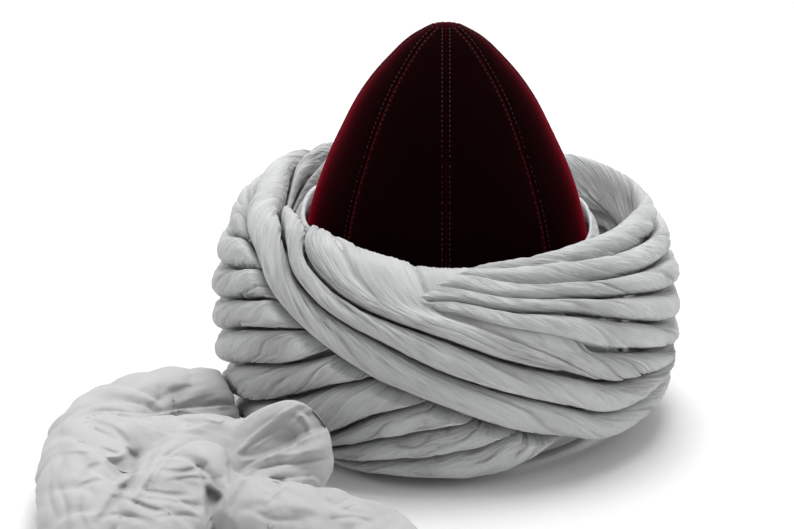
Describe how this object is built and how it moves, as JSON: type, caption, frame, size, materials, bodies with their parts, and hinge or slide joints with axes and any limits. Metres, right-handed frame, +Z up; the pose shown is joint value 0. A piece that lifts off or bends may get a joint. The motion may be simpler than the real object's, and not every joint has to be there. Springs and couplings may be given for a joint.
{
  "type": "imam turban",
  "caption": "Tall pointed velvet cap wound with a thick ring of twisted white muslin turns, worn as a clergyman's ceremonial turban; the loose gathered end lies beside it",
  "frame": {"origin": "on the cap's axis at the table, in the middle of the head opening", "axes": "+Z up through the cap's tip, -Y to the front where the turns cross, -X to the side where the loose end leaves"},
  "size_m": [0.3875, 0.4203, 0.253],
  "materials": {
    "velvet": "dark maroon cotton velvet, short pile",
    "muslin": "white crinkled cotton muslin, matte"
  },
  "bodies": {
    "root": {"cap_gore_1": "velvet", "cap_gore_2": "velvet", "cap_gore_3": "velvet", "cap_gore_4": "velvet", "cap_gore_5": "velvet", "cap_gore_6": "velvet", "cap_gore_7": "velvet", "cap_gore_8": "velvet", "liner_wrap": "muslin", "crossing_turn_1": "muslin", "crossing_turn_2": "muslin", "crossing_turn_3": "muslin", "rising_turn_1": "muslin", "rising_turn_2": "muslin", "rising_turn_3": "muslin", "rising_turn_4": "muslin", "rising_turn_5": "muslin", "foot_turn_1": "muslin", "foot_turn_2": "muslin", "front_layer_1": "muslin", "front_layer_2": "muslin", "front_layer_3": "muslin", "loose_tail": "muslin"}
  },
  "joints": []
}
